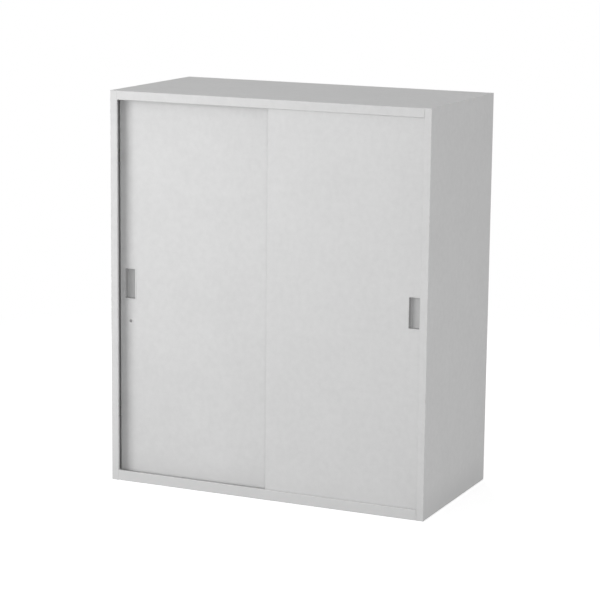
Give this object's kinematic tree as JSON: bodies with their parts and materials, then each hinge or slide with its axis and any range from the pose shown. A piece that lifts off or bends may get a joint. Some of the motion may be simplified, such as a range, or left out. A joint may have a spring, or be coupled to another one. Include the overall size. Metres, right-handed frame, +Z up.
{
  "type": "sliding door cabinet",
  "caption": "Free-standing folded steel storage cabinet with overlapping sliding doors on rollers, recessed pulls, a cam lock and adjustable shelves.",
  "frame": {"origin": "middle of the footprint, on the floor", "axes": "+X to the right seen from the front, +Y to the back, +Z up"},
  "size_m": [0.9, 0.45, 1.05],
  "materials": {
    "case_paint": "satin powder coat",
    "door_paint": "satin powder coat",
    "shelf_paint": "satin powder coat",
    "plated_steel": "zinc plated",
    "rail_plastic": "satin",
    "nylon": "natural nylon",
    "handle_plastic": "satin",
    "rubber": "matte",
    "lock_metal": "satin nickel"
  },
  "bodies": {
    "cabinet": {"left_side": "case_paint", "right_side": "case_paint", "top_panel": "case_paint", "bottom_panel": "case_paint", "back_panel": "case_paint", "top_stiffener": "case_paint", "floor_stiffener": "case_paint", "front_rail": "rail_plastic", "rear_rail": "rail_plastic", "front_guide_channel": "rail_plastic", "rear_guide_channel": "rail_plastic", "left_front_upright": "shelf_paint", "left_rear_upright": "shelf_paint", "right_front_upright": "shelf_paint", "right_rear_upright": "shelf_paint", "lower_shelf": "shelf_paint", "lower_shelf_stiffener": "shelf_paint", "upper_shelf": "shelf_paint", "upper_shelf_stiffener": "shelf_paint", "lower_shelf_left_clips": "plated_steel", "lower_shelf_right_clips": "plated_steel", "upper_shelf_left_clips": "plated_steel", "upper_shelf_right_clips": "plated_steel", "door_stops_left": "rubber", "door_stops_right": "rubber", "lock_strike": "plated_steel", "strike_screws": "plated_steel"},
    "front_door": {"front_door_skin": "door_paint", "front_door_stiffener": "door_paint", "front_door_handle": "handle_plastic", "front_door_roller_brackets": "plated_steel", "front_door_axles": "plated_steel", "front_door_guide_shoes": "nylon"},
    "front_door_left_roller": {"front_door_left_roller": "nylon"},
    "front_door_right_roller": {"front_door_right_roller": "nylon"},
    "rear_door": {"rear_door_skin": "door_paint", "rear_door_stiffener": "door_paint", "rear_door_handle": "handle_plastic", "rear_door_roller_brackets": "plated_steel", "rear_door_axles": "plated_steel", "rear_door_guide_shoes": "nylon", "lock_barrel": "lock_metal", "lock_nut": "plated_steel"},
    "rear_door_left_roller": {"rear_door_left_roller": "nylon"},
    "rear_door_right_roller": {"rear_door_right_roller": "nylon"},
    "lock": {"lock_plug": "lock_metal", "lock_cam": "plated_steel"}
  },
  "joints": [
    {"name": "front_door_slide", "type": "slide", "parent": "cabinet", "child": "front_door", "axis": [1, 0, 0], "range_m": [-0.4435, 0]},
    {"name": "rear_door_slide", "type": "slide", "parent": "cabinet", "child": "rear_door", "axis": [1, 0, 0], "range_m": [0, 0.4175]},
    {"name": "front_door_left_roller_spin", "type": "hinge", "parent": "front_door", "child": "front_door_left_roller", "pos_m": [0.062, -0.208, 0.0263], "axis": [0, 1, 0], "continuous": true},
    {"name": "front_door_right_roller_spin", "type": "hinge", "parent": "front_door", "child": "front_door_right_roller", "pos_m": [0.3815, -0.208, 0.0263], "axis": [0, 1, 0], "continuous": true},
    {"name": "rear_door_left_roller_spin", "type": "hinge", "parent": "rear_door", "child": "rear_door_left_roller", "pos_m": [-0.3815, -0.18, 0.0263], "axis": [0, 1, 0], "continuous": true},
    {"name": "rear_door_right_roller_spin", "type": "hinge", "parent": "rear_door", "child": "rear_door_right_roller", "pos_m": [-0.036, -0.18, 0.0263], "axis": [0, 1, 0], "continuous": true},
    {"name": "lock_turn", "type": "hinge", "parent": "rear_door", "child": "lock", "pos_m": [-0.4095, -0.171, 0.433], "axis": [0, 1, 0], "range_deg": [0, 90]}
  ],
  "couplings": [
    {"joint": "front_door_left_roller_spin", "follows": "front_door_slide", "rad_per_m": 125},
    {"joint": "front_door_right_roller_spin", "follows": "front_door_slide", "rad_per_m": 125},
    {"joint": "rear_door_left_roller_spin", "follows": "rear_door_slide", "rad_per_m": 125},
    {"joint": "rear_door_right_roller_spin", "follows": "rear_door_slide", "rad_per_m": 125}
  ]
}
